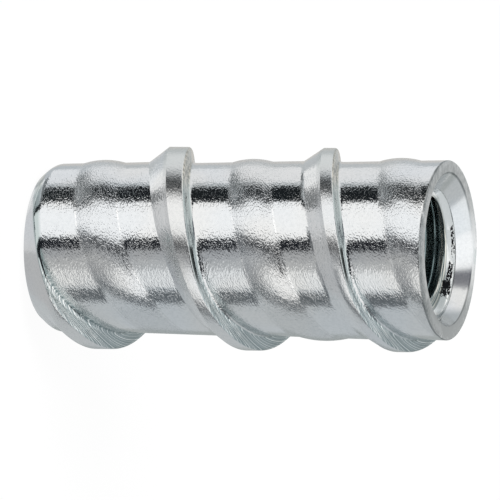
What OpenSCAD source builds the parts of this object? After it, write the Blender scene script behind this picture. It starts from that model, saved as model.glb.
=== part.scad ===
// Threaded insert: a steel sleeve with a coarse gripping rib outside and a threaded bore inside.
// It is turned and formed from one bar, so it is one solid. It stands on its tip face, with the
// mouth of the bore upwards, and the origin is on its axis in the plane of the tip face.

/* [Body] */
// Length from the tip face to the mouth rim
body_len = 31.75; // [28:0.25:45]
// Core diameter at the mouth rim
core_mouth_d = 13.5; // [13.1:0.05:14.4]
// Core diameter at the tip, before the chamfer is cut
core_tip_d = 12.65; // [12.2:0.05:13.5]
// Diameter of the flat tip face
tip_face_d = 11.1; // [10.6:0.1:11.8]
// Slope of the tip chamfer, as an angle from the axis
tip_chamfer_angle = 40; // [30:1:60]
// Radius that rounds the edge of the tip face
tip_edge_r = 0.15; // [0.05:0.05:0.4]
// Width of the bevel that breaks the outer edge of the rim
rim_bevel_w = 0.15; // [0.05:0.05:0.4]

/* [Gripping rib] */
// Diameter over the crest of the rib
rib_d = 15.25; // [14.6:0.05:16.5]
// Climb of the rib along the body in one turn
rib_pitch = 11.85; // [10.5:0.05:16]
// Width of the flat crest where the rib leaves the tip face
crest_tip_w = 1.35; // [0.8:0.05:2.5]
// Width of the flat crest where the rib would reach the mouth rim
crest_mouth_w = 0.8; // [0.3:0.05:2.5]
// Length along the axis of the sloping flank, which faces the tip
lead_run = 1.7; // [0.6:0.05:2.4]
// Length along the axis of the steep flank, which faces the mouth
back_run = 0.22; // [0.1:0.02:1]
// Radius of the fillet between the steep flank and the core
foot_fillet_r = 0.2; // [0.05:0.05:0.5]
// Angle round the axis, from +X, at which the foot of the steep flank leaves the tip face
rib_start_angle = 196; // [0:1:359]
// Distance below the mouth rim at which the rib has run out
runout_gap = 0.2; // [0:0.1:3]
// Length along the axis over which the rib sinks into the core before it ends
runout_len = 1.5; // [0.5:0.1:6]

/* [Low ridge] */
// Height of the low rounded ridge above the core
ridge_h = 0.23; // [0.1:0.01:0.6]
// Width of the ridge along the axis
ridge_w = 3.3; // [1.5:0.1:4]
// Distance from the foot of the steep flank up to the middle of the ridge
ridge_shift = 4.75; // [3.5:0.05:5.5]

/* [Threaded bore] */
// Bore diameter, which is the diameter at the crests of the internal thread
bore_d = 8; // [7.6:0.05:8.4]
// Diameter at the roots of the internal thread, which the lead-in at the tip opens out to
thread_root_d = 9.6; // [9.2:0.05:10]
// Diameter of the straight relief between the countersink and the thread
relief_d = 10; // [9.7:0.05:10.4]
// Depth of the straight relief
relief_len = 0.15; // [0.05:0.05:1]
// Slope of the thread's first turn, as an angle from the axis
thread_lead_angle = 50; // [30:1:60]
// Width of the flat rim round the countersink
rim_w = 0.75; // [0.4:0.05:1.2]
// Angle between opposite sides of the countersink
countersink_angle = 90; // [60:1:120]

/* [Facets] */
// Facets in one turn of the rib and the ridge
turn_facets = 90; // [60:6:96]
// Facets across the rounded top of the ridge
ridge_facets = 6; // [4:1:8]
// Facets round the foot fillet
fillet_facets = 3; // [2:1:4]

/* [Hidden] */
$fn = 96;
steel = [0.76, 0.78, 0.8];

rib_r = rib_d / 2;
bore_r = bore_d / 2;
thread_root_r = thread_root_d / 2;
relief_r = relief_d / 2;
rim_inner_r = core_mouth_d / 2 - rim_bevel_w - rim_w;
countersink_len = (rim_inner_r - relief_r) / tan(countersink_angle / 2);
mouth_lead_len = (relief_r - bore_r) / tan(thread_lead_angle);
tip_lead_len = (thread_root_r - bore_r) / tan(thread_lead_angle);

// How far the raw shape reaches past the finished one before it is cut to length and width
overrun = 1;

// Radius of the tapered core at height z
function core_r(z) = (core_tip_d + (core_mouth_d - core_tip_d) * z / body_len) / 2;

// Width of the rib's crest at height z
function crest_w(z) = max(0.05, crest_tip_w + (crest_mouth_w - crest_tip_w) * z / body_len);

// Share of the rib's full height that is left at height z: 1 along the body, 0 once it has run out
function rib_share(z) = min(1, max(0, (body_len - runout_gap - z) / runout_len));

// Point on the fillet at the foot of a steep flank of this height: share 0 is on the flank, 1 on the core.
// Where the rib runs out, the fillet shrinks with the flank that it meets.
function fillet_point(height, share) =
    let (
        flank_angle = atan2(height, back_run),
        longest = 0.8 * norm([height, back_run]),
        r = min(foot_fillet_r, longest / tan(flank_angle / 2)),
        turn = flank_angle * (1 - share)
    )
    [r * tan(flank_angle / 2) - r * sin(turn), r * (1 - cos(turn))];

// Cross-section of rib, fillet and ridge, as [distance up from the steep foot, radius], in rising order
function section(z) =
    let (
        height = max(0.01, (rib_r - core_r(z)) * rib_share(z)),
        crest = crest_w(z)
    )
    concat(
        [
            [-back_run - crest - lead_run, core_r(z - back_run - crest - lead_run)],
            [-back_run - crest, core_r(z) + height],
            [-back_run, core_r(z) + height]
        ],
        [
            for (i = [0 : fillet_facets])
                let (p = fillet_point(height, i / fillet_facets))
                [p[0], core_r(z + p[0]) + p[1]]
        ],
        [
            for (i = [0 : ridge_facets])
                let (
                    side = 2 * i / ridge_facets - 1,
                    up = ridge_shift + side * ridge_w / 2
                )
                [up, core_r(z + up) + ridge_h * (1 - side * side)]
        ]
    );
section_size = len(section(0));

// The winding starts and ends about a turn past the finished body, so that its ragged ends are cut away
winding_start_z = -rib_pitch - section(0)[0][0] - overrun;
winding_end_z = body_len + rib_pitch - section(0)[section_size - 1][0] + overrun;
winding_steps = ceil(turn_facets * (winding_end_z - winding_start_z) / rib_pitch);

// Height of the steep flank's foot after a number of steps round the axis
function foot_z(step) = winding_start_z + rib_pitch * step / turn_facets;

// Compass angle that goes with a step, so that the foot crosses the tip face at rib_start_angle
function step_angle(step) = rib_start_angle + 360 * foot_z(step) / rib_pitch;

// Point number k of the section at one step of the winding
function winding_point(step, p) =
    [p[1] * cos(step_angle(step)), p[1] * sin(step_angle(step)), foot_z(step) + p[0]];

// The top point of each section joins the bottom point of the section one turn later
function index(step, k) =
    k < section_size ? step * section_size + k : (step + turn_facets) * section_size;

// Raw outside of the insert: the section wound up round the axis and closed at both ends
module wound_body() {
    last = winding_steps;
    points = [
        for (step = [0 : last])
            for (p = section(foot_z(step)))
                winding_point(step, p)
    ];
    bottom = len(points);
    top = bottom + 1;
    centres = [[0, 0, foot_z(0) - overrun], [0, 0, foot_z(last) + overrun]];
    strip = [
        for (step = [0 : last - 1])
            for (k = [0 : section_size - 1])
                if (k < section_size - 1 || step < last - turn_facets)
                    [index(step, k), index(step, k + 1), index(step + 1, k + 1), index(step + 1, k)]
    ];
    bottom_cap = concat(
        [for (step = [0 : turn_facets - 1]) [bottom, index(step, 0), index(step + 1, 0)]],
        [for (k = [0 : section_size - 1]) [bottom, index(0, k + 1), index(0, k)]]
    );
    top_cap = concat(
        [
            for (step = [last - turn_facets : last - 1])
                [top, index(step + 1, section_size - 1), index(step, section_size - 1)]
        ],
        [for (k = [0 : section_size - 2]) [top, index(last, k), index(last, k + 1)]],
        [[top, index(last - turn_facets, section_size - 1), index(last, 0)]]
    );
    polyhedron(points = concat(points, centres), faces = concat(strip, bottom_cap, top_cap));
}

// Points of the arc that rounds the corner at b, between its neighbours a and c
function rounded(a, b, c, r, facets = 4) =
    let (
        u = (a - b) / norm(a - b),
        v = (c - b) / norm(c - b),
        half = acos(u * v) / 2,
        centre = b + (u + v) / norm(u + v) * r / sin(half),
        from = b + u * r / tan(half) - centre,
        to = b + v * r / tan(half) - centre,
        start = atan2(from[1], from[0]),
        sweep = (atan2(to[1], to[0]) - start + 540) % 360 - 180
    )
    [for (i = [0 : facets]) centre + r * [cos(start + sweep * i / facets), sin(start + sweep * i / facets)]];

// Everything that the lathe leaves: tip face, tip chamfer, mouth face and the bevel round the rim
module lathe_limits() {
    out_r = rib_r + overrun;
    face_edge = [tip_face_d / 2, 0];
    chamfer_end = [out_r, (out_r - tip_face_d / 2) / tan(tip_chamfer_angle)];
    rim_edge = [core_mouth_d / 2 - rim_bevel_w, body_len];
    rotate_extrude()
        polygon(concat(
            [[0, 0]],
            rounded([0, 0], face_edge, chamfer_end, tip_edge_r),
            [chamfer_end, [out_r, body_len - (out_r - rim_edge[0])], rim_edge, [0, body_len]]
        ));
}

// Bore with its countersink and relief at the mouth, and a lead-in to the thread at both ends
module bore() {
    relief_top = body_len - countersink_len;
    relief_bottom = relief_top - relief_len;
    translate([0, 0, -overrun])
        cylinder(r = bore_r, h = body_len + 2 * overrun);
    translate([0, 0, relief_bottom - mouth_lead_len])
        cylinder(r1 = bore_r, r2 = relief_r, h = mouth_lead_len);
    translate([0, 0, relief_bottom])
        cylinder(r = relief_r, h = relief_len);
    translate([0, 0, relief_top])
        cylinder(
            r1 = relief_r,
            r2 = rim_inner_r + overrun * tan(countersink_angle / 2),
            h = countersink_len + overrun
        );
    translate([0, 0, -overrun])
        cylinder(
            r1 = thread_root_r + overrun * tan(thread_lead_angle),
            r2 = bore_r,
            h = overrun + tip_lead_len
        );
}

module insert() {
    color(steel)
        difference() {
            intersection() {
                wound_body();
                lathe_limits();
            }
            bore();
        }
}

insert();
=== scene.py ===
from math import atan2, cos, hypot, pi, radians, sin, sqrt, tan

import bmesh
import bpy
from mathutils import Matrix, Vector


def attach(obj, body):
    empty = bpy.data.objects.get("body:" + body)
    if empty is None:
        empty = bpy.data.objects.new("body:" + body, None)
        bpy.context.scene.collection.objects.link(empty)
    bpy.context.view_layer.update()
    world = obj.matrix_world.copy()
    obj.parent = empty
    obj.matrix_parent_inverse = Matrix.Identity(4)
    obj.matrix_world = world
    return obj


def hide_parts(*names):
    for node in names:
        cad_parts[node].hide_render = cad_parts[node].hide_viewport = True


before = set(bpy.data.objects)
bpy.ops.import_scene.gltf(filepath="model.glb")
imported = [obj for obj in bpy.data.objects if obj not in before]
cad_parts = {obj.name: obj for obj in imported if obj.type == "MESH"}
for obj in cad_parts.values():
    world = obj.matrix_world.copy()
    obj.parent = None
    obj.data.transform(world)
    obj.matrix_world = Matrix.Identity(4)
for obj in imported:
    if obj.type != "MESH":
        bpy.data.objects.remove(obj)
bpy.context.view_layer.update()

# ---- Rolled outside of the sleeve ------------------------------------------------------------
# The sleeve is mild steel bar. Dies roll its outside: a coarse right-hand rib with a flat crest, a
# sloping flank towards the tip and a steep one towards the mouth, and a low rounded ridge half-way
# between its turns. Its sizes are in millimetres here; the finished mesh is brought to metres.
length = 31.75
core_tip_radius = 6.325
core_swell = 0.42
rib_pitch = 11.85
rib_start = radians(196)
rib_steps = 180
rib_turns = 4
rib_radius = 7.62
rib_height = 0.9
crest_width = 1.16
crest_extra_at_tip = 0.36
crest_narrowing = 0.68
lead_run = 1.58
back_run = 0.26
crest_round = 0.18
runout_gap = 0.2
runout_length = 1.5
runout_rest = 0.14
ridge_middle = 4.75
ridge_half = 1.65
ridge_height = 0.23
foot_dip = 0.06
lead_foot_lift = 0.03

# Distances up from the foot of the steep flank, which every point of the winding keeps as "up"
crest_end = -back_run
crest_start = crest_end - crest_width
lead_foot = crest_start - lead_run
ridge_start = ridge_middle - ridge_half
ridge_end = ridge_middle + ridge_half
next_lead_foot = lead_foot + rib_pitch


def core_radius(z):
    """Radius of the core under the rib, which swells a little from the tip to the mouth."""
    return core_tip_radius + core_swell * z / length


def rib_left(z):
    """Share of the rib's height that is left at height z: it sinks into the core below the rim."""
    return min(1, max(runout_rest, (length - runout_gap - z) / runout_length))


def crest_change(z):
    """What the crest is wider at height z than its middle width: it narrows from tip to mouth."""
    return crest_extra_at_tip - crest_narrowing * z / length


def smooth_step(value, low, high):
    """A soft step from 0 to 1 as value goes from low to high."""
    share = min(1, max(0, (value - low) / (high - low)))
    return share * share * (3 - 2 * share)


def ground(up, ridge_left=1):
    """Height over the core at a distance up from the steep flank's foot: a dip, then the low ridge."""
    rise = lead_foot_lift + foot_dip
    if up < 0:
        return lead_foot_lift - rise * (up - lead_foot) / -lead_foot
    across = (up - ridge_middle) / ridge_half
    return rise * up / next_lead_foot - foot_dip + ridge_left * ridge_height * max(0, 1 - across * across)


# The section of one turn is drawn at an even radius, and brought in to the core once it is wound
drawn_radius = 10
fillet_top = (-0.13, 0.12)
fillet_top_round = 0.08
fillet_foot = (0.12, 0)
fillet_foot_round = 0.1
longest_edge = 1
point_spacing = 0.3
touch = 0.01
sleeve = bmesh.new()
corners = [sleeve.verts.new((drawn_radius + out, 0, up)) for up, out in (
    (lead_foot, 0), (crest_start, rib_height), (crest_end, rib_height), fillet_top, fillet_foot,
    (ridge_start, 0), (ridge_end, 0), (next_lead_foot, 0))]
for pair in zip(corners, corners[1:]):
    sleeve.edges.new(pair)
for corner, offset, segments in ((corners[2], crest_round, 4), (corners[3], fillet_top_round, 3),
                                 (corners[4], fillet_foot_round, 3)):
    bmesh.ops.bevel(sleeve, geom=[corner], offset=offset, segments=segments, profile=0.5,
                    affect="VERTICES", material=-1)
for edge in [edge for edge in sleeve.edges if edge.calc_length() > longest_edge]:
    bmesh.ops.subdivide_edges(sleeve, edges=[edge], cuts=round(edge.calc_length() / point_spacing))
up_layer = sleeve.verts.layers.float.new("up")
ridge_layer = sleeve.verts.layers.float.new("ridge")
flank_layer = sleeve.verts.layers.float.new("steep_flank")
rolled_layer = sleeve.verts.layers.float.new("rolled")
edge_layer = sleeve.verts.layers.float.new("ridge_edge")
for vert in sleeve.verts:
    vert[rolled_layer] = 1
    up = vert[up_layer] = vert.co.z
    vert[ridge_layer] = float(abs(up - ridge_middle) < ridge_half + touch)
    across = round((up - ridge_middle) / ridge_half, 2)
    vert[edge_layer] = across if across in (-1, 1) else 0
    vert[flank_layer] = float(crest_end - 0.1 < up < 0)


def wind(section, start, pitch, steps, turns):
    """Winds a section once round the axis along a right-hand helix, then stacks that turn up the axis."""
    bmesh.ops.rotate(section, verts=section.verts, cent=(0, 0, 0), matrix=Matrix.Rotation(start, 3, "Z"))
    bmesh.ops.translate(section, verts=section.verts, vec=(0, 0, -pitch))
    bmesh.ops.spin(section, geom=section.verts[:] + section.edges[:], cent=(0, 0, 0), axis=(0, 0, 1),
                   dvec=(0, 0, pitch / steps), angle=2 * pi, steps=steps, use_merge=False)
    first_turn = section.verts[:] + section.edges[:] + section.faces[:]
    for number in range(1, turns):
        copy = bmesh.ops.duplicate(section, geom=first_turn)["geom"]
        bmesh.ops.translate(section, verts=[part for part in copy if isinstance(part, bmesh.types.BMVert)],
                            vec=(0, 0, pitch * number))
    bmesh.ops.remove_doubles(section, verts=section.verts, dist=0.001)


wind(sleeve, rib_start, rib_pitch, rib_steps, rib_turns)

creases = (lead_foot, crest_start, ridge_start, ridge_end, next_lead_foot)
for edge in sleeve.edges:
    edge.smooth = not any(all(abs(vert[up_layer] - crease) < touch for vert in edge.verts)
                          for crease in creases)


def set_radius(vert, radius):
    """Moves a point straight out from the axis, or in, to a radius."""
    scale = radius / hypot(vert.co.x, vert.co.y)
    vert.co.x *= scale
    vert.co.y *= scale


def facing(azimuth, side, sharpness):
    """1 for a point in the middle of a side, falling to 0 a quarter turn away."""
    return max(0, cos(azimuth - side)) ** sharpness


def fading(value, full, gone):
    """1 up to one value, falling to 0 at a greater one."""
    return 1 - smooth_step(value, full, gone)


# The dies don't press evenly. The first turns slip towards the tip on the side that meets the dies,
# where the sloping flank is a little shorter, and spring back towards the mouth on the other sides.
# The steep flank lags towards the tip on one side of each turn, most of all on the first one, and the
# crest lags by part of that. Low down, the crest is wider on one side, and the ridge fades on the
# side across from it. Each fade is the height where the change is still whole, and where it is gone.
slip = 0.62
slip_side = radians(262)
slip_fade = (6.5, 14)
spring = 0.3
spring_fade = (8, 26)
flank_less = 0.3
flank_less_fade = (14, 22)
flank_lag = 0.6
lag_side = radians(299)
lag_fade_up = (0.3, 1.6)
tip_lag = 0.25
tip_lag_side = radians(278)
tip_lag_fade = (4, 8)
crest_lag_share = 0.55
crest_spread = 0.35
crest_spread_side = radians(180)
crest_spread_fade = (14, 20)
ridge_fade_side = 0
ridge_fade = (11, 15)
crest_round_foot = crest_end - 0.2
flank_head = crest_end + 0.05
first_turn_top = 6
first_turn_flank = (-0.3, 0.25)
for vert in sleeve.verts:
    up, z, azimuth = vert[up_layer], vert.co.z, atan2(vert.co.y, vert.co.x)
    out = max(0, hypot(vert.co.x, vert.co.y) - drawn_radius) / rib_height
    ridge_left = 1 - facing(azimuth, ridge_fade_side, 4) * fading(z, *ridge_fade)
    base = core_radius(z) + ground(up, ridge_left)
    set_radius(vert, base + out * (rib_radius - base) * rib_left(z))
    if up > 0:
        crest_share = foot_share = smooth_step(up, ridge_end, next_lead_foot)
    else:
        crest_share = 1 if up < (crest_start + crest_end) / 2 else 0
        foot_share = min(1, max(0, (up - crest_start) / (lead_foot - crest_start)))
    lag_share = crest_lag_share if up < flank_head else fading(up, *lag_fade_up)
    if up > crest_round_foot:
        vert.co.z -= lag_share * flank_lag * facing(azimuth, lag_side, 8)
    if up > flank_head:
        vert.co.z -= lag_share * tip_lag * facing(azimuth, tip_lag_side, 4) * fading(z, *tip_lag_fade)
    if z < first_turn_top and first_turn_flank[0] < up < first_turn_flank[1]:
        vert[flank_layer] = 1
    at_dies = facing(azimuth, slip_side, 2)
    spread_here = facing(azimuth, crest_spread_side, 6) * fading(z, *crest_spread_fade)
    vert.co.z -= crest_share * (crest_spread * spread_here + crest_change(z))
    vert.co.z += foot_share * flank_less * at_dies * fading(z, *flank_less_fade)
    vert.co.z += spring * (1 - at_dies) * fading(z, *spring_fade)
    vert.co.z -= slip * at_dies * fading(z, *slip_fade)

# ---- Turned ends -----------------------------------------------------------------------------
# The lathe parts the rolled bar off square at the mouth and chamfers the tip down to a small flat
# face. Tumbling before plating leaves every turned edge slightly round.
tip_radius = 5.47
tip_slope = tan(radians(40.8))
tip_face_round = 0.05
tip_face_round_height = 0.08
chamfer_blend = 0.4
chamfer_rolled_share = 0.35
rim_round = 0.1
rim_round_steps = 4


def cut(mesh, height, radius=0, slope=0, keep=0):
    """Cuts the mesh along a plane across the axis, or along a cone that has this radius at that height.
    The cone is sheared flat first. keep is 1 to leave only what is above, -1 for below, 0 for both."""
    lean = 1 / slope if slope else 0
    for vert in mesh.verts:
        vert.co.z -= lean * (hypot(vert.co.x, vert.co.y) - radius)
    bmesh.ops.bisect_plane(mesh, geom=mesh.verts[:] + mesh.edges[:] + mesh.faces[:], dist=1e-5,
                           plane_co=(0, 0, height), plane_no=(0, 0, 1),
                           clear_inner=keep > 0, clear_outer=keep < 0)
    for vert in mesh.verts:
        vert.co.z += lean * (hypot(vert.co.x, vert.co.y) - radius)


def rounded_least(a, b, corner_width):
    """The lesser of a and b, with the corner between them rounded."""
    near = max(corner_width - abs(a - b), 0) / corner_width
    return min(a, b) - near * near * corner_width / 4


# Rings of points are cut in first where a corner is to be rounded
for share in (-0.9, -0.45, 0, 0.45, 0.9):
    cut(sleeve, share * chamfer_blend, tip_radius, tip_slope)
for step in range(rim_round_steps):
    cut(sleeve, length - rim_round * (1 - sin(step * pi / 2 / rim_round_steps)))
cut(sleeve, length, keep=-1)
cut(sleeve, tip_face_round_height)
cut(sleeve, 0, keep=1)
for vert in sleeve.verts:
    z = vert.co.z
    radius = hypot(vert.co.x, vert.co.y)
    chamfer = tip_radius + z * tip_slope
    if chamfer < radius + 0.02:
        vert[rolled_layer] = chamfer_rolled_share
    if z < tip_face_round_height / 2:
        chamfer -= tip_face_round
    radius = rounded_least(radius, chamfer, chamfer_blend)
    if z > length - rim_round:
        radius -= rim_round - sqrt(max(0, rim_round ** 2 - (z - length + rim_round) ** 2))
    set_radius(vert, radius)

# ---- Threaded bore ---------------------------------------------------------------------------
# The bore is drilled and countersunk, and a tap cuts a 3/8 in thread of 16 turns to the inch, with
# flanks at 60 degrees. The first turn starts out of a short lead-in below the countersink.
thread_pitch = 25.4 / 16
bore_radius = 4.0
root_radius = 4.8
thread_steps = 96
thread_turns = 23
thread_start = radians(140)
flank_run = (root_radius - bore_radius) * tan(radians(30))
crest_half = 0.2
thread_round = 0.1

# Turned profiles as points of height and radius. At the mouth, from the rim down, they are the
# countersink with a fine groove at its foot, a steep lead-in and a shallow one. At the tip it is one cone.
countersink_depth = 1.09
lead_in_depth = 1.15
lead_in_end = 1.47
mouth_lathe = [(length - depth, radius) for depth, radius in (
    (0, 5.78), (countersink_depth, 4.86), (1.12, 4.95), (lead_in_depth, 4.86), (lead_in_end, 4.3),
    (1.56, bore_radius))]
tip_lathe = [(0, root_radius + 0.05), (0.7, bore_radius)]
countersink_ring_spacing = 0.2625
# Below this depth the bore's colour is painted shade
bore_shade_depth = 1.5

# The countersink was cut a little off the bore's centre, and the ring at its foot more so
off_centre = Vector((-0.12, 0.1, 0))
ring_shift = Vector((0.37, 0.15, 0))

tapped = bmesh.new()
corners = [tapped.verts.new((radius, 0, up)) for up, radius in (
    (-crest_half, bore_radius), (crest_half, bore_radius), (crest_half + flank_run, root_radius),
    (thread_pitch - crest_half - flank_run, root_radius), (thread_pitch - crest_half, bore_radius))]
for low, high in zip(corners, corners[1:]):
    tapped.edges.new((low, high))
for corner in corners[1:4]:
    bmesh.ops.bevel(tapped, geom=[corner], offset=thread_round, segments=3, profile=0.5,
                    affect="VERTICES", material=-1)
wind(tapped, thread_start, thread_pitch, thread_steps, thread_turns)


def lathe_radius(z, profile):
    """Radius of a turned profile, given as (height, radius) points from the top down, at height z."""
    for (high, high_radius), (low, low_radius) in zip(profile, profile[1:]):
        if low <= z <= high:
            return low_radius + (high_radius - low_radius) * (z - low) / (high - low)
    return 0


for (high, high_radius), (low, low_radius) in (mouth_lathe[3:5], tip_lathe):
    cut(tapped, low, low_radius, (high_radius - low_radius) / (high - low))
for z, radius in mouth_lathe[1:] + tip_lathe[1:]:
    cut(tapped, z)
for ring in (1, 2, 3):
    cut(tapped, length - countersink_ring_spacing * ring)
cut(tapped, length, keep=-1)
cut(tapped, 0, keep=1)
bore_layer = tapped.verts.layers.float.new("bore")
for vert in tapped.verts:
    z, radius = vert.co.z, hypot(vert.co.x, vert.co.y)
    turned = max(lathe_radius(z, mouth_lathe), lathe_radius(z, tip_lathe[::-1]))
    vert[bore_layer] = float(z < length - bore_shade_depth)
    set_radius(vert, max(radius, turned))
    depth = length - z
    nearing = depth / countersink_depth
    leaving = (lead_in_end - depth) / (lead_in_end - lead_in_depth)
    vert.co += off_centre + ring_shift * max(0, min(1, nearing, leaving))

bore_mesh = bpy.data.meshes.new("bore")
tapped.to_mesh(bore_mesh)
tapped.free()
sleeve.verts.layers.float.new("bore")
sleeve.from_mesh(bore_mesh)
bpy.data.meshes.remove(bore_mesh)
for z in (0, length):
    open_edges = [edge for edge in sleeve.edges if edge.is_boundary]
    rings = [edge for edge in open_edges if all(abs(vert.co.z - z) < 1e-4 for vert in edge.verts)]
    bmesh.ops.bridge_loops(sleeve, edges=rings)
bmesh.ops.recalc_face_normals(sleeve, faces=sleeve.faces)
metres = 0.001
bmesh.ops.scale(sleeve, vec=(metres, metres, metres), verts=sleeve.verts)

sleeve_mesh = bpy.data.meshes.new("threaded_sleeve")
sleeve.to_mesh(sleeve_mesh)
sleeve.free()
sleeve_mesh.shade_smooth()
sleeve_mesh.set_sharp_from_angle(angle=radians(32))
threaded_sleeve = bpy.data.objects.new("threaded_sleeve", sleeve_mesh)
bpy.context.scene.collection.objects.link(threaded_sleeve)

# ---- Zinc plating ----------------------------------------------------------------------------
# A thin bright zinc coat covers the steel inside and out. It is satin and finely pitted where the dies
# rolled the bar, and streaked where tools cut or dragged across it. Its colour also holds painted light:
# painted highlights and painted shade on the tool marks, ridge edges, thread crests and lead-in, painted
# shade in the bore and on the flank, ridge, crest, countersink and groove mouth. The parted face is darker
# in places.
zinc = bpy.data.materials.new("zinc_plate")
zinc.use_nodes = True
nodes, links = zinc.node_tree.nodes, zinc.node_tree.links
shader = nodes["Principled BSDF"]
shader.inputs["Metallic"].default_value = 1.0


def node(kind, inputs=(), **settings):
    """Adds a node, sets its options, and links or sets its inputs, which are given by name or number."""
    made = nodes.new(kind)
    for name, value in settings.items():
        setattr(made, name, value)
    for name, value in dict(inputs).items():
        if isinstance(value, bpy.types.NodeSocket):
            links.new(value, made.inputs[name])
        else:
            made.inputs[name].default_value = value
    return made


def maths(operation, a, b=0.0, c=0.0):
    """A math node's result."""
    return node("ShaderNodeMath", {0: a, 1: b, 2: c}, operation=operation).outputs[0]


def product(*factors):
    """Several values multiplied."""
    made = factors[0]
    for factor in factors[1:]:
        made = maths("MULTIPLY", made, factor)
    return made


def ramp(value, low, high, low_value=0.0, high_value=1.0):
    """A smooth step from low_value to high_value as value goes from low to high."""
    inputs = {"Value": value, "From Min": low, "From Max": high, "To Min": low_value, "To Max": high_value}
    return node("ShaderNodeMapRange", inputs, interpolation_type="SMOOTHSTEP").outputs[0]


def drop(value, low, high):
    """A smooth step from 1 down to 0 as value goes from low to high."""
    return ramp(value, low, high, 1.0, 0.0)


def off(value, middle, stretch):
    """How far a value is off a middle, stretched."""
    return maths("ABSOLUTE", maths("MULTIPLY", maths("ADD", value, -middle), stretch))


def attribute(name):
    """A value that the points of the sleeve keep."""
    return node("ShaderNodeAttribute", attribute_name=name).outputs["Fac"]


object_place = node("ShaderNodeTexCoord").outputs["Object"]
in_mm = node("ShaderNodeMapping", {"Vector": object_place, "Scale": (1000, 1000, 1000)}).outputs[0]
axes = node("ShaderNodeSeparateXYZ", {0: in_mm})
x, y, z = axes.outputs[0], axes.outputs[1], axes.outputs[2]
radius = maths("SQRT", maths("MULTIPLY_ADD", x, x, maths("MULTIPLY", y, y)))
azimuth = maths("ARCTAN2", y, x)
below_rim = maths("SUBTRACT", length, z)
on_ridge, ridge_edge, on_flank = attribute("ridge"), attribute("ridge_edge"), attribute("steep_flank")
rolled, bored = attribute("rolled"), attribute("bore")
on_crest = ramp(radius, 7.3, 7.5)


def grain(scale, detail=2.0, roughness=0.5):
    """A noise pattern on the millimetre grid."""
    return node("ShaderNodeTexNoise", {"Vector": in_mm, "Scale": scale, "Detail": detail,
                                       "Roughness": roughness}).outputs["Fac"]


def line_grain(along, roughness):
    """A noise pattern that changes only with one value."""
    return node("ShaderNodeTexNoise", {"W": along, "Scale": 1.0, "Detail": 2.0, "Roughness": roughness},
                noise_dimensions="1D").outputs["Fac"]


def bump(height, distance, below=None, strength=1.0):
    """A bump of this depth in metres, over the bumps below it."""
    inputs = {"Height": height, "Distance": distance, "Strength": strength}
    if below:
        inputs["Normal"] = below
    return node("ShaderNodeBump", inputs).outputs[0]


def blend(share, first, second):
    """A colour between two others."""
    return node("ShaderNodeMix", {0: share, 6: first, 7: second}, data_type="RGBA").outputs[2]


# The dies leave fine lines and pits that follow the winding. This angle stays the same along a turn.
turned_by = maths("MULTIPLY_ADD", z, 2 * pi / rib_pitch, maths("MULTIPLY", azimuth, -1.0))


def rolled_noise(across, along, detail=0.0):
    """Noise that runs with the winding: so many cells to the millimetre across it and along it."""
    wide = across * rib_pitch / (2 * pi)
    turn = [maths("MULTIPLY", maths(kind, turned_by), wide) for kind in ("COSINE", "SINE")]
    drawn_x, drawn_y = maths("MULTIPLY", x, along), maths("MULTIPLY", y, along)
    spread = node("ShaderNodeCombineXYZ", {0: turn[0], 1: turn[1], 2: drawn_x}).outputs[0]
    inputs = {"Vector": spread, "W": drawn_y, "Scale": 1.0, "Detail": detail}
    return node("ShaderNodeTexNoise", inputs, noise_dimensions="4D").outputs["Fac"]


# Tool marks cross the steep flank from its foot to the crest, leaning round the axis.
marks_per_mm_out = 15.0
marks_per_radian = -34.0
leaning = maths("MULTIPLY_ADD", radius, marks_per_mm_out, maths("MULTIPLY", azimuth, marks_per_radian))
marks = line_grain(leaning, roughness=0.6)
marked_and_highlit = product(on_flank, rolled, ramp(x, 0.8, 3.0))

# The depths are in metres, as the mesh is. The pits are strongest on the ridge, and patchy elsewhere.
line_depth = 1.2e-5
pit_depth = 0.8e-5
mark_depth = 2.2e-5
on_rolled = maths("MULTIPLY", rolled, maths("SUBTRACT", 1.0, on_flank))
patchy = maths("MULTIPLY_ADD", grain(0.22, detail=1.0), 1.5, -0.25)
pitted = maths("MULTIPLY", on_rolled, maths("MAXIMUM", on_ridge, patchy))
normal = bump(rolled_noise(9.0, 2.6, detail=1.0), line_depth, strength=on_rolled)
normal = bump(ramp(rolled_noise(10.0, 6.0), 0.4, 0.6), pit_depth, normal, pitted)
normal = bump(marks, mark_depth, normal, marked_and_highlit)
links.new(normal, shader.inputs["Normal"])

# The coat: cloudy zinc with a faint bloom. The steep flank is painted a darker teal, partly its own tint
# and partly painted shade, and its tool marks carry painted highlights and painted shade, brighter near the
# tip.
colour = blend(ramp(grain(0.16, detail=1.0), 0.4, 0.6), (0.77, 0.79, 0.81, 1), (0.79, 0.79, 0.785, 1))
colour = blend(on_flank, colour, (0.5, 0.56, 0.56, 1))
marks_lit = maths("ADD", marks, ramp(z, 2.5, 6.0, 0.05, 0.0))
mark_highlight_colour = blend(ramp(marks_lit, 0.53, 0.6), (0.34, 0.4, 0.41, 1), (0.96, 0.98, 0.97, 1))
colour = blend(marked_and_highlit, colour, mark_highlight_colour)
bloom = ramp(grain(4.0, detail=4.0, roughness=0.65), 0.42, 0.62, 0.0, 0.16)
colour = blend(bloom, colour, (0.5, 0.53, 0.55, 1))

# The parted face is painted darker, least in the middle of one side.
on_mouth_face = drop(below_rim, 0.05, 0.15)
face_darkening = maths("MAXIMUM", ramp(maths("ABSOLUTE", x), 0.0, 4.8, 0.0, 0.85), ramp(y, -4.0, 4.0, 0.72, 0.0))
face_darkening = maths("MULTIPLY", face_darkening, maths("MULTIPLY_ADD", grain(1.6, detail=3.0), 1.2, 0.4))
face_darkening = maths("ADD", face_darkening, ramp(x, 2.0, 5.5, 0.0, 0.25))
colour = blend(maths("MULTIPLY", face_darkening, on_mouth_face), colour, (0.22, 0.235, 0.235, 1))

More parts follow.
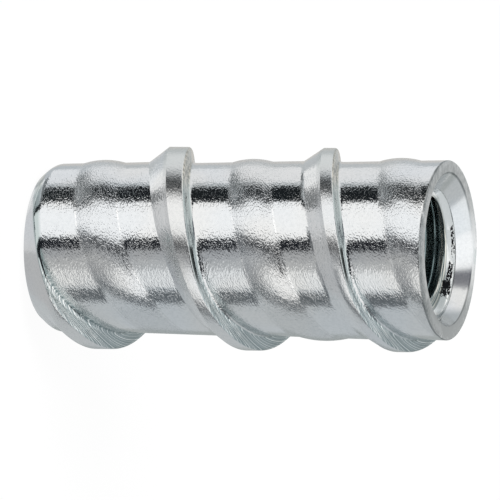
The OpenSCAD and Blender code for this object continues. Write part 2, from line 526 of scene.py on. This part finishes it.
# A dark line of painted shade runs along the steep flank, just under the crest, where the rounded crest edge
# mirrors dark.
painted_dark_line = product(drop(off(radius, 7.33, 1.0), 0.2, 0.26), on_flank, ramp(z, 4.0, 8.0))
painted_dark_line = product(painted_dark_line, ramp(x, -0.4, 0.1), drop(x, 1.6, 3.4))
colour = blend(painted_dark_line, colour, (0.07, 0.08, 0.08, 1))

# The ridge has painted shade on one side. Its two edges carry a broken painted highlight, and the upper one
# painted shade for a stretch.
ridge_painted_shade = maths("MULTIPLY", ramp(on_ridge, 0.1, 0.5), ramp(x, 4.2, 5.0, 0.0, 0.22))
colour = blend(ridge_painted_shade, colour, (0.5, 0.515, 0.52, 1))
edge_light_breakup = ramp(rolled_noise(1.0, 2.0, detail=1.0), 0.4, 0.6, 0.2, 0.9)
upper_edge = ramp(ridge_edge, 0.6, 1.0)
painted_edge_highlight = maths("MAXIMUM", drop(ridge_edge, -1.0, -0.6), upper_edge)
painted_edge_highlight = product(painted_edge_highlight, ramp(x, 3.4, 4.2, 1.0, 0.3), ramp(x, -5.2, -4.2, 0.25, 1.0))
colour = blend(maths("MULTIPLY", painted_edge_highlight, edge_light_breakup), colour, (1.0, 1.0, 1.0, 1))
painted_edge_shade = product(upper_edge, ramp(x, -1.0, -0.6), drop(x, 1.5, 1.9))
colour = blend(maths("MULTIPLY", painted_edge_shade, edge_light_breakup), colour, (0.2, 0.21, 0.22, 1))

# Inside the bore the colour is dark painted shade. Near the mouth, tap streaks are painted lighter as
# painted light, and the thread crests carry painted highlights.
painted_crest_highlight = maths("MULTIPLY", drop(radius, 4.02, 4.15), ramp(below_rim, 2.15, 2.45))
streak_place = maths("MULTIPLY_ADD", radius, 7.0, maths("MULTIPLY_ADD", z, 5.0, maths("MULTIPLY", y, 0.6)))
lit_streaks = ramp(line_grain(streak_place, roughness=0.7), 0.44, 0.56)
lit_streaks = maths("MULTIPLY", lit_streaks, drop(below_rim, 2.15, 2.55))
bore_shade_and_streaks = blend(lit_streaks, (0.2, 0.26, 0.27, 1), (0.75, 0.74, 0.68, 1))
colour = blend(bored, colour, blend(painted_crest_highlight, bore_shade_and_streaks, (1.0, 1.0, 1.0, 1)))

# The lead-in is painted near white as a painted highlight, and one side of the countersink has painted
# shade.
inside_ring = drop(radius, 5.2, 5.3)
lead_in_highlight = product(drop(below_rim, 1.5, 1.55), ramp(below_rim, 1.1, 1.15), inside_ring)
colour = blend(lead_in_highlight, colour, (0.98, 0.99, 0.98, 1))
painted_cone_shade = product(ramp(x, 4.1, 4.9, 0.0, 0.9), drop(below_rim, 1.25, 1.45), ramp(below_rim, 0.05, 0.15))
painted_cone_shade = maths("MULTIPLY", painted_cone_shade, drop(radius, 6.3, 6.4))
colour = blend(painted_cone_shade, colour, (0.38, 0.41, 0.42, 1))

# Painted shade where the thread groove opens on the lead-in: a ragged near-black strip, solid at its core,
# and a row of dark spots.
slanted = maths("MULTIPLY_ADD", x, -0.05, below_rim)
off_strip = maths("MULTIPLY", off(slanted, 1.265, 1.0), maths("MULTIPLY_ADD", x, -0.55, 2.7))
off_strip = maths("MAXIMUM", off(x, 2.118, 0.17), off_strip)
off_dark_spots = maths("ADD", maths("MAXIMUM", off(x, -0.8, 0.1), off(below_rim, 1.25, 1.3)), 0.13)
off_core = maths("MAXIMUM", off(x, 2.6, 0.5), off(below_rim, 1.432, 1.1))
off_dark_patch = maths("MINIMUM", maths("MINIMUM", off_strip, off_dark_spots), off_core)
off_dark_patch = maths("MULTIPLY_ADD", grain(5.0, detail=2.0), 0.2, off_dark_patch)
patch_filled = maths("MAXIMUM", drop(grain(7.0, detail=0.0), 0.6, 0.66), drop(off_core, 0.11, 0.16))
painted_groove_shade = product(drop(off_dark_patch, 0.3, 0.33), ramp(y, 2.8, 3.0), inside_ring, patch_filled)
colour = blend(painted_groove_shade, colour, (0.012, 0.013, 0.015, 1))

# On one side the crest has painted shade, and there the steep flank is mottled warm brown.
colour = blend(maths("MULTIPLY", on_crest, drop(x, -6.8, -5.2)), colour, (0.7, 0.72, 0.71, 1))
warm_mottle = blend(ramp(grain(3.2, detail=3.0, roughness=0.6), 0.42, 0.58), (0.4, 0.39, 0.35, 1),
                (0.78, 0.73, 0.64, 1))
colour = blend(product(on_flank, drop(x, -6.0, -3.8), drop(y, 1.0, 3.5)), colour, warm_mottle)
links.new(colour, shader.inputs["Base Color"])

# The core is smoothest; the ridge, the bore and the turned faces are rougher, and the crest roughest.
least_roughness = 0.1
rougher_by = 0.08
satin = maths("MAXIMUM", maths("MAXIMUM", on_ridge, bored), maths("SUBTRACT", 1.0, rolled))
satin = maths("MULTIPLY_ADD", on_crest, 1.8, satin)
links.new(maths("MULTIPLY_ADD", satin, rougher_by, least_roughness), shader.inputs["Roughness"])
sleeve_mesh.materials.append(zinc)
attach(threaded_sleeve, "root")
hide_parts("insert")

# ---- Studio ----------------------------------------------------------------------------------
# The insert stands on a plain white floor inside a tent of pale and dark panels with open gaps, which
# give the metal its long bright and dark reflections. Only the metal sees the panels.
world = bpy.data.worlds.new("studio")
bpy.context.scene.world = world
world.use_nodes = True

# The node helpers above work on the sky from here on, and further down on the paper.
nodes, links = world.node_tree.nodes, world.node_tree.links
background = nodes["Background"]
path = node("ShaderNodeLightPath")
seen = maths("MAXIMUM", path.outputs["Is Camera Ray"],
             maths("MAXIMUM", path.outputs["Is Glossy Ray"], path.outputs["Is Transmission Ray"]))
sky_light = 0.75
links.new(maths("MULTIPLY_ADD", seen, 1 - sky_light, sky_light), background.inputs["Strength"])
background.inputs["Color"].default_value = (1, 1, 1, 1)


def show(name, sheet, level):
    """Makes a sheet a panel that glows at this level of red, green and blue. Only the metal sees it."""
    mesh = bpy.data.meshes.new(name)
    sheet.to_mesh(mesh)
    sheet.free()
    made = bpy.data.objects.new(name, mesh)
    bpy.context.scene.collection.objects.link(made)
    for sight in ("visible_camera", "visible_diffuse", "visible_shadow", "visible_transmission"):
        setattr(made, sight, False)
    glow = bpy.data.materials.new(name)
    glow.use_nodes = True
    tree = glow.node_tree
    tree.nodes.remove(tree.nodes["Principled BSDF"])
    emission = tree.nodes.new("ShaderNodeEmission")
    emission.inputs["Color"].default_value = (*level, 1)
    tree.links.new(emission.outputs[0], tree.nodes["Material Output"].inputs["Surface"])
    mesh.materials.append(glow)


def panel(name, start, end, level, low=-0.6, high=0.24, radius=0.3):
    """A panel that stands bent round the insert, between two angles counted from -X towards -Y, from a
    low to a high height."""
    sheet = bmesh.new()
    corner = (-radius * cos(radians(start)), -radius * sin(radians(start)))
    ends = [sheet.verts.new((*corner, height)) for height in (low, high)]
    bmesh.ops.spin(sheet, geom=[*ends, sheet.edges.new(ends)], cent=(0, 0, 0), axis=(0, 0, 1),
                   angle=radians(end - start), steps=max(2, round((end - start) / 3)), use_merge=False)
    show(name, sheet, level)


# The first word of a panel's name says where the metal mirrors it. A softbox and a fill are bright, a
# shade and a grey dim, and a flag nearly black. A gap has the grey of the room behind it.
panel("tent_back", -180, 180, (0.56, 0.59, 0.605), high=0.8, radius=0.34)
panel("low_gap", -125, -92, (0.41, 0.44, 0.44), low=-0.14)
panel("chamfer_softbox", -74, -60, (0.95, 0.96, 0.96), low=-0.42, high=-0.255)
panel("flank_softbox", -49, -33, (1.0, 1.01, 1.01), low=-0.42, high=-0.17, radius=0.22)
panel("flank_softbox_foot", -33, -17, (1.0, 1.01, 1.01), low=-0.42, high=-0.25, radius=0.22)
panel("flank_shade", -17, 10, (0.2, 0.21, 0.215), low=-0.445, high=-0.27, radius=0.22)
panel("tip_softbox", -90, -74, (0.78, 0.79, 0.8), low=-0.36, high=-0.15)
panel("top_softbox", -46, -8, (0.9, 0.91, 0.92), low=-0.15)
panel("upper_shade", -34, 19, (0.19, 0.205, 0.21), low=-0.25, high=-0.155)
panel("upper_flag", -1, 25, (0.013, 0.016, 0.018), low=-0.15, high=0.16)
panel("upper_flag_foot", 20, 34, (0.028, 0.032, 0.035), high=-0.135, radius=0.295)
panel("front_softbox", 25.5, 76, (1.12, 1.12, 1.11))
panel("front_shade", 67, 77, (0.48, 0.5, 0.51), low=-0.5, high=-0.2, radius=0.295)
panel("front_flag", 77, 92, (0.015, 0.017, 0.022))
panel("camera_flag", 77, 116, (0.02, 0.022, 0.026), low=0.03, high=0.25, radius=0.29)
panel("ridge_flag", 74, 110, (0.16, 0.17, 0.18), low=-0.43, high=-0.16, radius=0.2)
panel("front_gap", 92, 106, (0.44, 0.45, 0.46))
panel("rim_softbox", -112, -68, (1.0, 1.01, 1.01), low=0.07, high=0.17, radius=0.29)
panel("mouth_back", 131, 200, (1.0, 1.03, 1.04), low=0.26, high=0.8, radius=0.285)
panel("mouth_softbox", 56, 130, (1.2, 1.2, 1.19), low=0.28, high=0.9, radius=0.285)
panel("mouth_flag", 24, 54, (0.17, 0.175, 0.2), low=0.2, high=0.8, radius=0.285)
panel("mouth_fill", -38, 23, (1.0, 1.0, 0.99), low=0.12, high=0.6, radius=0.285)
panel("mouth_shade", -80, -38, (0.42, 0.45, 0.46), low=0.2, high=0.8, radius=0.285)
panel("low_grey", 106, 119, (0.54, 0.55, 0.55))
panel("low_softbox", 119, 144, (0.9, 0.91, 0.9), low=-0.128)
panel("low_shade", 119, 147, (0.36, 0.37, 0.38), high=-0.132)
panel("ridge_softbox", 110, 149.5, (1.08, 1.08, 1.07), low=-0.06, high=0.2, radius=0.295)
panel("low_flag", 149, 169, (0.145, 0.16, 0.17))
panel("upper_gap", -92, -62, (0.64, 0.63, 0.61), low=-0.14, high=-0.03)

# The tent's low end is a pale disc. On it lie a dark sector, which the steep flanks mirror, and a grey
# sheet, which the tip mirrors.
tent_end_height = -0.45
tent_end = bmesh.new()
bmesh.ops.create_circle(tent_end, cap_ends=True, segments=64, radius=0.34)
bmesh.ops.translate(tent_end, verts=tent_end.verts, vec=(0, 0, tent_end_height))
show("tent_end", tent_end, (0.73, 0.74, 0.75))
sector = bmesh.new()
sector_start = radians(-33)
sector_sweep = radians(55)
ends = [sector.verts.new((-radius * cos(sector_start), -radius * sin(sector_start), tent_end_height + 0.002))
        for radius in (0.15, 0.22)]
bmesh.ops.spin(sector, geom=[*ends, sector.edges.new(ends)], cent=(0, 0, 0), axis=(0, 0, 1),
               angle=sector_sweep, steps=18, use_merge=False)
show("flank_shade_end", sector, (0.2, 0.21, 0.215))
shade = bmesh.new()
bmesh.ops.create_grid(shade, x_segments=1, y_segments=1, size=0.17)
bmesh.ops.scale(shade, verts=shade.verts, vec=(1, 2, 1))
bmesh.ops.translate(shade, verts=shade.verts, vec=(0.19, 0, tent_end_height + 0.01))
show("tent_end_shade", shade, (0.54, 0.55, 0.56))

# The floor is white paper. It looks nearly as white as the backdrop, and keeps a soft shadow.
floor_white_share = 0.95
floor = bmesh.new()
bmesh.ops.create_grid(floor, x_segments=1, y_segments=1, size=6)
floor_mesh = bpy.data.meshes.new("floor")
floor.to_mesh(floor_mesh)
floor.free()
floor_object = bpy.data.objects.new("floor", floor_mesh)
bpy.context.scene.collection.objects.link(floor_object)
floor_object.visible_glossy = False
paper = bpy.data.materials.new("white_paper")
paper.use_nodes = True
nodes, links = paper.node_tree.nodes, paper.node_tree.links
matt = nodes["Principled BSDF"]
matt.inputs["Base Color"].default_value = (0.9, 0.9, 0.9, 1)
matt.inputs["Roughness"].default_value = 0.9
path = node("ShaderNodeLightPath")
lit = node("ShaderNodeEmission", {"Color": (1, 1, 1, 1), "Strength": 1.0})
seen = maths("MULTIPLY", path.outputs["Is Camera Ray"], floor_white_share)
mixed = node("ShaderNodeMixShader", {0: seen, 1: matt.outputs[0], 2: lit.outputs[0]})
links.new(mixed.outputs[0], nodes["Material Output"].inputs["Surface"])
floor_mesh.materials.append(paper)

# One wide soft lamp hangs above, and the metal doesn't mirror it.
lamp_place = Vector((-0.35, -0.35, 0.7))
lamp_data = bpy.data.lights.new("soft_lamp", "AREA")
lamp_data.shape = "DISK"
lamp_data.size = 0.5
lamp_data.energy = 6
lamp = bpy.data.objects.new("soft_lamp", lamp_data)
lamp.location = lamp_place
lamp.rotation_euler = (-lamp_place).to_track_quat("-Z", "Y").to_euler()
lamp.visible_glossy = False
bpy.context.scene.collection.objects.link(lamp)

# ---- Camera ----------------------------------------------------------------------------------
# The camera looks nearly square at the insert from a little towards the mouth, and is turned on its
# side, so that the standing insert lies across the picture with its mouth to the right.
yaw = radians(18.8)
roll = radians(0.51)
picture_width = 500
pixels_per_mm = 13.38
mouth_pixel_right = 448.4
mouth_pixel_down = 250.7
distance = 1500
along = Vector((0, sin(yaw), cos(yaw)))
down = Vector((1, 0, 0))
right = along * cos(roll) - down * sin(roll)
down = along * sin(roll) + down * cos(roll)
away = Vector((0, -cos(yaw), sin(yaw)))
to_mouth = right * (mouth_pixel_right - picture_width / 2) + down * (mouth_pixel_down - picture_width / 2)
middle = Vector((0, 0, length)) - to_mouth / pixels_per_mm
camera_data = bpy.data.cameras.new("camera")
camera_data.sensor_width = 36
camera_data.lens = camera_data.sensor_width * distance * pixels_per_mm / picture_width
camera_data.clip_start = 0.1
camera_data.clip_end = 100
camera = bpy.data.objects.new("camera", camera_data)
turned = Matrix((right, -down, away)).transposed().to_4x4()
camera.matrix_world = Matrix.Translation((middle + away * distance) * metres) @ turned
bpy.context.scene.collection.objects.link(camera)
bpy.context.scene.camera = camera
bpy.context.scene.view_settings.view_transform = "Standard"

bpy.context.view_layer.update()
